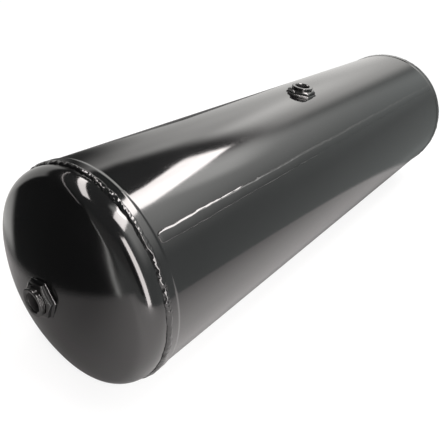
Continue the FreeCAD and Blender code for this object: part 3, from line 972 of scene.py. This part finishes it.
class TANK_OT_seam_weld(bpy.types.Operator):
    """Builds the straight seam along the shell"""

    bl_idname = "tank.seam_weld"
    bl_label = "Straight seam"

    def execute(self, context):
        weld = context.scene.tank_weld
        radius = context.scene.tank_shell.radius
        out = Vector((0.0, -math.sin(weld.seam_angle), math.cos(weld.seam_angle)))
        side = Vector((0.0, -math.cos(weld.seam_angle), -math.sin(weld.seam_angle)))
        low, high = SEAM_LOW.x, SEAM_HIGH.x
        stations = []
        for row in range(SEAM_ROWS + 1):
            along = low + (high - low) * row / SEAM_ROWS
            place = Vector((along, 0.0, AXIS_HEIGHT)) + out * radius
            stations.append((place, side, out, along - low))
        mesh = bead_mesh("seam_path", swept_rows(stations, seam_section(weld, radius)), False)
        round_off_ends(mesh, side, out, radius)
        ripples = {"Pitch": weld.seam_pitch, "Depth": weld.seam_depth, **SEAM_STRAY}
        finish_bead("seam_bead", "seam_weld", mesh, ripples, weld.seed, sharp_angle=SHARP_SEAM)
        return {"FINISHED"}


# ---- bosses -----------------------------------------------------------------------------
BORE_ROWS = 110
# steps along each side and each rounded corner of a boss, and of the fillet round it
BOSS_SIDE_STEPS, BOSS_CORNER_STEPS = 14, 7
FILLET_SIDE_STEPS, FILLET_CORNER_STEPS = 60, 21


def hexagon_polar(flats, round_radius, per_side, per_corner):
    """Angles and radii of a hexagon with rounded corners, the first corner on X."""
    polar = []
    apothem = flats / 2
    corner = flats / math.sqrt(3)
    middle = corner - round_radius * (2 / math.sqrt(3))
    for side in range(6):
        turn = side * math.pi / 3
        for step in range(per_corner):
            swing = math.radians(-30 + 60 * step / (per_corner - 1))
            x = middle + round_radius * math.cos(swing)
            y = round_radius * math.sin(swing)
            polar.append((turn + math.atan2(y, x), math.hypot(x, y)))
        start = math.atan2(round_radius / 2, middle + round_radius * math.sqrt(3) / 2)
        for step in range(1, per_side):
            swing = start + (math.pi / 3 - 2 * start) * step / per_side
            polar.append((turn + swing, apothem / math.cos(swing - math.pi / 6)))
    return polar


def plate_at(on_shell):
    """The plate under a port: its thickness and its outside radius."""
    scene = bpy.context.scene
    if on_shell:
        return scene.tank_shell.wall, scene.tank_shell.radius
    return scene.tank_head.wall, scene.tank_head.crown_radius


def seat_height(x, y, radius, on_shell):
    """Height of the tank wall below the port's crest, at a point beside the port's axis."""
    across = y * y if on_shell else x * x + y * y
    return math.sqrt(radius**2 - across) - radius


def boss_rings(boss, on_shell):
    """Rings of the boss from the foot of its spigot over the outside and down the bore.

    Each point also gets an edge mark, which thins the paint, and a thread weight.
    """
    polar = hexagon_polar(
        boss.hex_flats, boss.corner_round, BOSS_SIDE_STEPS, BOSS_CORNER_STEPS
    )
    wall, wall_radius = plate_at(on_shell)
    soft = boss.edge_round
    top_radius = boss.hex_flats / 2 - boss.hex_inset
    slope = math.tan(boss.hex_chamfer)
    foot = -(wall + boss.spigot_reach)
    neck_top = boss.hex_height + boss.neck_height
    rim = neck_top + boss.collar_height
    rings, edges, threads = [], [], []

    def add(radius, height, edge=0.0, thread=0.0):
        """Radius and height are numbers, or functions of the hexagon's angle and radius."""
        ring = []
        for turn, reach in polar:
            spread = radius(reach) if callable(radius) else radius
            x, y = spread * math.cos(turn), spread * math.sin(turn)
            level = height(x, y, reach) if callable(height) else height
            ring.append((x, y, level))
        rings.append(ring)
        edges.extend([edge] * len(ring))
        threads.extend([thread] * len(ring))

    def on_wall(x, y, _):
        return seat_height(x, y, wall_radius, on_shell)

    def chamfer(shift):
        """Height of the turned corner where it meets the side, moved by shift."""
        return lambda x, y, reach: boss.hex_height - (reach - top_radius) * slope + shift

    def flat(inwards=0.0):
        """Radius of the hexagon's side, moved inwards."""
        return lambda reach: reach - inwards

    bore = boss.bore_radius
    add(bore, foot)
    add(boss.spigot_radius - soft, foot)
    add(boss.spigot_radius, foot + soft)
    add(boss.spigot_radius, on_wall)
    # sides of the hexagon, from the plate up to the turned corner
    add(flat(), on_wall)
    for level in (0.3, 0.6):
        add(flat(), lambda x, y, reach: (
            on_wall(x, y, reach) * (1 - level) + chamfer(-soft)(x, y, reach) * level))
    add(flat(), chamfer(-soft), 0.3)
    add(flat(soft * 0.2), chamfer(-soft * 0.35), 1.0)
    add(flat(soft * 0.8), chamfer(soft * 0.8 * slope - soft * 0.05), 0.4)
    add(lambda reach: top_radius + (reach - top_radius) * 0.5,
        lambda x, y, reach: boss.hex_height - (reach - top_radius) * 0.5 * slope)
    add(top_radius + soft, boss.hex_height - soft * slope, 0.3)
    add(top_radius, boss.hex_height - soft * 0.12, 1.0)
    add(top_radius - soft, boss.hex_height, 0.3)
    # neck, with small hollows at both ends
    add(boss.neck_radius + soft, boss.hex_height)
    add(boss.neck_radius + soft * 0.3, boss.hex_height + soft * 0.3)
    add(boss.neck_radius, boss.hex_height + soft)
    add(boss.neck_radius, neck_top - soft * 0.5)
    add(boss.neck_radius + soft * 0.5, neck_top)
    collar, groove = boss.collar_radius, boss.groove_depth
    add(collar - soft, neck_top, 0.2)
    add(collar - soft * 0.3, neck_top + soft * 0.3, 1.0)
    add(collar, neck_top + soft, 0.3)
    # two fine turned rings
    for middle in (0.36, 0.62):
        centre = neck_top + boss.collar_height * middle
        half = soft * 0.9
        add(collar, centre - half, 0.3)
        add(collar - groove * 0.8, centre - half * 0.5)
        add(collar - groove, centre)
        add(collar - groove * 0.8, centre + half * 0.5)
        add(collar, centre + half, 0.3)
    bevel = soft * 1.6
    add(collar, rim - bevel, 0.4)
    add(collar - bevel * 0.3, rim - bevel * 0.3, 1.0)
    add(collar - bevel, rim, 0.4)
    mouth = bore + boss.mouth_lead
    add(mouth + soft, rim, 0.3)
    add(mouth, rim - soft * 0.4, 1.0)
    # threaded bore, from the mouth's chamfer down to just above the foot
    top = rim - boss.mouth_lead
    for row in range(BORE_ROWS):
        level = top + (foot - top) * row / BORE_ROWS
        fade = min(1.0, (top - level) / boss.thread_pitch, (level - foot) / boss.thread_pitch)
        add(bore, level, thread=max(0.0, fade))
    return rings, edges, threads


def port_places(boss):
    """Each port: its name, its matrix from the boss's own frame, and whether it is on top."""
    scene = bpy.context.scene
    head = scene.tank_head
    crown = HALF_LENGTH + head.flange + head.crown_radius - crown_drop(head)
    tip = Matrix.Rotation(math.pi / 2, 4, "Y") @ Matrix.Rotation(boss.head_turn, 4, "Z")
    half_turn = Matrix.Rotation(math.pi, 4, "Z")
    return (
        ("top", Matrix.Translation((0.0, 0.0, AXIS_HEIGHT + scene.tank_shell.radius)), True),
        ("front", Matrix.Translation((-crown, 0.0, AXIS_HEIGHT)) @ half_turn @ tip, False),
        ("rear", Matrix.Translation((crown, 0.0, AXIS_HEIGHT)) @ tip, False),
    )


class TANK_OT_bosses(bpy.types.Operator):
    """Builds the three hexagonal bosses with their screw threads"""

    bl_idname = "tank.bosses"
    bl_label = "Threaded bosses"

    def execute(self, context):
        boss = context.scene.tank_boss
        material = gloss_paint("boss_gloss", flow=0.3, nibs=0.0, edges=True)
        values = {"Pitch": boss.thread_pitch, "Depth": boss.thread_depth, "Material": material}
        for side, place, on_shell in port_places(boss):
            rings, edges, threads = boss_rings(boss, on_shell)
            mesh = loop_mesh("boss_blank", rings)
            set_attribute(mesh, "edge", "FLOAT", edges)
            set_attribute(mesh, "thread", "FLOAT", threads)
            node = f"port_boss_{side}"
            name = f"{node}_skin"
            mesh = shaped(name, mesh, screw_thread(), values)
            mesh.transform(place)
            finish_piece(mesh, name, [node], material, SHARP_BOSS)
        return {"FINISHED"}


def fillet_rows(polar, leg, on_shell):
    """Rows of a fillet that follows the hexagon on the curved wall, and its length."""
    fullness = 1.25
    still = Vector((0.0, 0.0, 0.0))
    wall_radius = plate_at(on_shell)[1]
    outs = [Vector((math.cos(turn), math.sin(turn), 0.0)) for turn, _ in polar]
    feet = [out * reach for out, (_, reach) in zip(outs, polar)]
    run = 0.0
    rows = []
    for number, (out, foot) in enumerate(zip(outs, feet)):
        if number:
            run += (foot - feet[number - 1]).length
        row = []
        for step in range(FILLET_STEPS + 1):
            swing = math.pi / 2 * step / FILLET_STEPS
            spot = foot + out * (leg * math.cos(swing) ** fullness)
            ground = seat_height(spot.x, spot.y, wall_radius, on_shell)
            place = (spot.x, spot.y, ground + leg * math.sin(swing) ** fullness)
            across = 1.0 - 2.0 * step / FILLET_STEPS
            side = out if step < FILLET_STEPS / 2 else still
            row.append((place, run, across, lift_at(across), side))
        ground = seat_height(foot.x, foot.y, wall_radius, on_shell)
        row.append(((foot.x, foot.y, ground), run, 0.0, 0.0, still))
        rows.append(row)
    return rows, run + (feet[0] - feet[-1]).length


class TANK_OT_boss_welds(bpy.types.Operator):
    """Builds the fillet welds round the bosses"""

    bl_idname = "tank.boss_welds"
    bl_label = "Boss welds"

    def execute(self, context):
        weld, boss = context.scene.tank_weld, context.scene.tank_boss
        polar = hexagon_polar(
            boss.hex_flats, boss.corner_round, FILLET_SIDE_STEPS, FILLET_CORNER_STEPS
        )
        for number, (side, place, on_shell) in enumerate(port_places(boss)):
            rows, girth = fillet_rows(polar, weld.boss_leg, on_shell)
            whole = round(girth / weld.boss_pitch)
            ripples = {"Pitch": girth / whole, "Depth": weld.boss_depth, **BOSS_STRAY}
            mesh = bead_mesh("boss_fillet", rows, True)
            finish_bead(f"boss_bead_{side}", f"boss_weld_{side}", mesh, ripples,
                        weld.seed + 10 + number, place)
        return {"FINISHED"}


# ---- stage ------------------------------------------------------------------------------
@built_once
def soft_patch(name):
    """A soft-edged patch of the room between two azimuths and two elevations, in degrees."""
    inputs = [
        ("Azimuth", "Float"), ("Elevation", "Float"), ("Left", "Float", 0.0),
        ("Right", "Float", 0.0), ("Bottom", "Float", 0.0), ("Top", "Float", 0.0),
        ("Side Softness", "Float", 5.0), ("End Softness", "Float", 5.0),
    ]
    tree, given, result = new_tree(name, "ShaderNodeTree", inputs, [("Light", "Float")])

    def within(value, low, high, softness):
        above = maths(tree, "SUBTRACT", given[value], given[low])
        below = maths(tree, "SUBTRACT", given[high], given[value])
        spare = maths(tree, "DIVIDE", maths(tree, "MINIMUM", above, below), given[softness])
        return smooth_step(tree, spare, -1.0, 1.0)

    patch = product(tree, within("Azimuth", "Left", "Right", "Side Softness"),
                    within("Elevation", "Bottom", "Top", "End Softness"))
    tree.links.new(patch, result["Light"])
    return tree


def build_room(scene):
    """The room that the gloss paint mirrors: dark, with a pale wall and a grey front."""
    world = bpy.data.worlds.new("studio")
    scene.world = world
    world.use_nodes = True
    tree = world.node_tree
    tree.nodes.clear()
    way = add_node(tree, "ShaderNodeTexCoord").outputs["Generated"]
    x, y, z = add_node(tree, "ShaderNodeSeparateXYZ", {0: way}).outputs
    azimuth = maths(tree, "DEGREES", maths(tree, "ARCTAN2", y, x))
    elevation = maths(tree, "DEGREES", maths(tree, "ARCSINE", z))

    def patch(left, right, bottom, top, side_softness, end_softness, brightness,
              turn=azimuth, rise=elevation):
        """One soft patch: its four sides and its two softnesses, in degrees."""
        light = place_group(tree, soft_patch(), {
            "Azimuth": turn, "Elevation": rise, "Left": left, "Right": right,
            "Bottom": bottom, "Top": top, "Side Softness": side_softness,
            "End Softness": end_softness,
        })["Light"]
        return product(tree, light, brightness)

    def ramp(value, low, high, gain, base=0.0):
        """A soft step of value from base at low to base and gain at high."""
        return maths(tree, "ADD", product(tree, smooth_step(tree, value, low, high), gain), base)

    # the wall is brightest left of its middle, and its upper right corner falls off
    upward = maths(tree, "ADD", ramp(z, 0.18, 0.52, 1.5, 0.95), product(tree, z, 1.2))
    across = maths(tree, "SUBTRACT", ramp(azimuth, 8.0, 27.0, 0.55, 0.6),
                   ramp(azimuth, 38.0, 54.0, 0.27))
    corner = product(tree, ramp(azimuth, 24.0, 34.0, 1.1), ramp(elevation, 10.0, 26.0, 0.38))
    wall = product(tree, upward, maths(tree, "SUBTRACT", across, corner))
    slant = product(tree, maths(tree, "SUBTRACT", azimuth, 30.0), 0.14)
    wall_rise = maths(tree, "ADD", elevation, slant)
    # the front is grey, with a glow above it and a shaded side towards the rear
    glow = product(tree, ramp(elevation, 16.0, 54.0, 2.4), ramp(azimuth, -102.0, -62.0, 1.0))
    shaded = product(tree, ramp(azimuth, -50.0, -8.0, 0.4), ramp(elevation, 6.0, 20.0, -1.0, 1.0))
    front = maths(tree, "SUBTRACT", 0.68, shaded)
    # a thin leaning line, which the front head draws out into a long arc
    around = maths(tree, "FLOORED_MODULO", azimuth, 360.0)
    leaning = maths(tree, "ADD", around, product(tree, elevation, 0.48))
    warm = (
        patch(6.0, 53.0, -34.0, 34.0, 5.0, 3.5, wall, rise=wall_rise),
        patch(-16.0, 5.0, 38.0, 52.0, 4.0, 4.0, 2.2),
        patch(61.0, 100.0, -34.0, 18.0, 4.0, 4.0, 0.85),
        patch(-108.0, 2.0, -60.0, 76.0, 9.0, 8.0, glow),
        patch(169.5, 171.3, -42.0, 14.0, 0.7, 6.0, 5.0, turn=leaning),
        patch(171.0, 228.0, -42.0, 34.0, 1.5, 12.0, 0.3, turn=leaning),
    )
    cool = (
        patch(-108.0, 2.0, -60.0, 76.0, 9.0, 8.0, front),
        patch(-240.0, -128.0, -40.0, 8.0, 12.0, 10.0, 0.3),
        ramp(elevation, 25.0, 50.0, 0.16, 0.04),
    )
    shaders = []
    for tint, lights in (((1.0, 0.985, 0.96, 1.0), warm), ((0.95, 1.0, 0.985, 1.0), cool)):
        total = 0.0
        for light in lights:
            total = maths(tree, "ADD", light, total)
        shaders.append(add_node(
            tree, "ShaderNodeBackground", {"Color": tint, "Strength": total}).outputs[0])
    room = add_node(tree, "ShaderNodeAddShader", dict(enumerate(shaders)))
    white = add_node(tree, "ShaderNodeBackground", {
        "Color": (1.0, 1.0, 1.0, 1.0), "Strength": 1.0})
    seen = add_node(tree, "ShaderNodeLightPath").outputs["Is Camera Ray"]
    both = add_node(tree, "ShaderNodeMixShader", {0: seen, 1: room.outputs[0], 2: white.outputs[0]})
    add_node(tree, "ShaderNodeOutputWorld", {"Surface": both.outputs[0]})


def floor_paint(stage):
    """Plain pale floor; in reflections it is a lit table with painted shade, that ends along two
    slanting edges.
    """
    material = bpy.data.materials.new("pale_floor")
    material.use_nodes = True
    tree = material.node_tree
    tree.nodes.clear()
    place = add_node(tree, "ShaderNodeTexCoord").outputs["Object"]
    x, y, _ = add_node(tree, "ShaderNodeSeparateXYZ", {0: place}).outputs
    path = add_node(tree, "ShaderNodeLightPath").outputs
    edge_softness = 0.04
    beyond = 0.0
    for azimuth, edge in ((-35, stage.table_right), (130, stage.table_left)):
        turn = math.radians(azimuth)
        facing = (math.cos(turn), math.sin(turn), 0.0)
        reach = vector_maths(tree, "DOT_PRODUCT", place, facing, result="Value")
        beyond = maths(tree, "MAXIMUM", beyond, smooth_step(
            tree, reach, edge - edge_softness, edge + edge_softness))
    # mirrored in the paint, the table is darkened on its far side and towards the rear head: painted
    # shade where the tank's shadow falls
    far = product(tree, smooth_step(tree, y, -0.24, 0.02), 0.72)
    rear = product(tree, smooth_step(tree, x, -0.60, 0.40), 0.45)
    kept = product(tree, maths(tree, "SUBTRACT", 1.0, far), maths(tree, "SUBTRACT", 1.0, rear))
    # painted shadow: the table's colour is darkened for glossy rays only
    painted_table_shade = product(tree, maths(tree, "SUBTRACT", 1.0, kept), path["Is Glossy Ray"])
    tone = mix_colour(tree, painted_table_shade, stage.floor_tone, (0.0, 0.0, 0.0))
    lit = add_node(tree, "ShaderNodeBsdfPrincipled", {
        "Base Color": tone, "Roughness": 0.9, "Specular IOR Level": 0.0})
    # the camera sees it mostly plain white, and wholly so far from the tank
    plain = add_node(tree, "ShaderNodeEmission", {"Strength": 1.03})
    distance = vector_maths(tree, "LENGTH", place, result="Value")
    whitening = product(tree, smooth_step(tree, distance, 0.4, 1.6), 1.0 - stage.floor_white)
    whiteness = maths(tree, "ADD", whitening, stage.floor_white)
    seen = add_node(tree, "ShaderNodeMixShader", {
        0: product(tree, path["Is Camera Ray"], whiteness), 1: lit.outputs[0],
        2: plain.outputs[0]})
    # from below the floor is clear, so that the underside shows
    gone = add_node(tree, "ShaderNodeBsdfTransparent")
    below = add_node(tree, "ShaderNodeNewGeometry").outputs["Backfacing"]
    clear = maths(tree, "MAXIMUM", below, product(tree, beyond, path["Is Glossy Ray"]))
    both = add_node(tree, "ShaderNodeMixShader", {
        0: clear, 1: seen.outputs[0], 2: gone.outputs[0]})
    add_node(tree, "ShaderNodeOutputMaterial", {"Surface": both.outputs[0]})
    return material


def build_floor(stage):
    """The floor that the tank lies on, far wider than the view."""
    half = stage.floor_size
    mesh = bpy.data.meshes.new("floor")
    mesh.from_pydata(
        [(-half, -half, 0.0), (half, -half, 0.0), (half, half, 0.0), (-half, half, 0.0)],
        [], [(0, 1, 2, 3)],
    )
    mesh.materials.append(floor_paint(stage))
    new_object("floor", mesh)


STRIP_TINT = (1.0, 0.94, 0.925)
# strip lights: name, start, end, width, radiance, and the point that each one faces
STRIPS = (
    ("near", (-0.44, -0.40, 1.2), (0.22, -0.25, 1.2), 0.30, 15.0, (0.0, 0.0, 0.12)),
    ("over", (0.18, -0.27, 1.2), (0.77, 0.225, 1.2), 0.25, 17.0, (0.0, 0.0, 0.12)),
    ("left", (-0.77, -1.19, 0.02), (-0.80, -0.62, 1.16), 0.26, 15.0, (-0.43, -0.08, 0.15)),
    ("back", (-0.84, 0.37, 1.2), (0.28, 0.88, 1.2), 0.20, 13.0, (-0.43, 0.0, 0.2)),
    ("edge", (-1.65, 0.71, 0.98), (0.18, 1.20, 0.98), 0.03, 4.0, (-0.43, 0.0, 0.2)),
)


def add_strip(name, start, end, width, radiance, aim):
    """A strip light from start to end that faces the aim."""
    start, end, aim = Vector(start), Vector(end), Vector(aim)
    middle = (start + end) / 2
    along = (end - start).normalized()
    back = (middle - aim).normalized()
    back = (back - along * back.dot(along)).normalized()
    light = bpy.data.lights.new(f"strip_{name}", "AREA")
    light.shape = "RECTANGLE"
    light.size = (end - start).length
    light.size_y = width
    light.energy = radiance * math.pi * light.size * light.size_y
    light.color = STRIP_TINT
    made = new_object(light.name, light)
    turn = Matrix((along, back.cross(along), back)).transposed()
    made.matrix_world = Matrix.Translation(middle) @ turn.to_4x4()
    made.visible_camera = False


def place_camera(scene, stage):
    """The camera, near the front head and above it."""
    view = bpy.data.cameras.new("camera")
    view.sensor_width = 36.0
    view.lens = stage.lens
    view.shift_y = stage.rise
    view.clip_start, view.clip_end = 0.01, 50.0
    camera = new_object("camera", view)
    camera.location = stage.camera_place
    camera.rotation_euler = Euler(stage.camera_turn)
    scene.camera = camera


class TANK_OT_stage(bpy.types.Operator):
    """Builds the camera, the floor, the room and the strip lights"""

    bl_idname = "tank.stage"
    bl_label = "Stage"

    def execute(self, context):
        scene = context.scene
        scene.view_settings.view_transform = "Standard"
        place_camera(scene, scene.tank_stage)
        build_room(scene)
        build_floor(scene.tank_stage)
        for strip in STRIPS:
            add_strip(*strip)
        return {"FINISHED"}


# ---- panel, registration and the run ----------------------------------------------------
BUILD_STEPS = (
    ("stage", TANK_OT_stage),
    ("shell", TANK_OT_shell),
    ("heads", TANK_OT_heads),
    ("girth_welds", TANK_OT_girth_welds),
    ("seam_weld", TANK_OT_seam_weld),
    ("bosses", TANK_OT_bosses),
    ("boss_welds", TANK_OT_boss_welds),
)
SETTINGS = {
    "tank_shell": ShellSettings,
    "tank_head": HeadSettings,
    "tank_weld": WeldSettings,
    "tank_boss": BossSettings,
    "tank_paint": PaintSettings,
    "tank_stage": StageSettings,
}


class TANK_PT_panel(bpy.types.Panel):
    """Lists the steps that build the tank, and its settings"""

    bl_idname = "TANK_PT_panel"
    bl_label = "Pressure tank"
    bl_space_type = "VIEW_3D"
    bl_region_type = "UI"
    bl_category = "Tank"

    def draw(self, context):
        for _, step in BUILD_STEPS:
            self.layout.operator(step.bl_idname, text=step.bl_label)
        for name, group in SETTINGS.items():
            box = self.layout.box()
            box.label(text=group.__doc__)
            for key in group.__annotations__:
                box.prop(getattr(context.scene, name), key)


def register():
    for group in SETTINGS.values():
        bpy.utils.register_class(group)
    for _, step in BUILD_STEPS:
        bpy.utils.register_class(step)
    bpy.utils.register_class(TANK_PT_panel)
    for name, group in SETTINGS.items():
        setattr(bpy.types.Scene, name, PointerProperty(type=group))


def unregister():
    for name in SETTINGS:
        delattr(bpy.types.Scene, name)
    bpy.utils.unregister_class(TANK_PT_panel)
    for _, step in reversed(BUILD_STEPS):
        bpy.utils.unregister_class(step)
    for group in reversed(SETTINGS.values()):
        bpy.utils.unregister_class(group)


def main():
    register()
    for name, _ in BUILD_STEPS:
        getattr(bpy.ops.tank, name)()


if __name__ == "__main__":
    main()
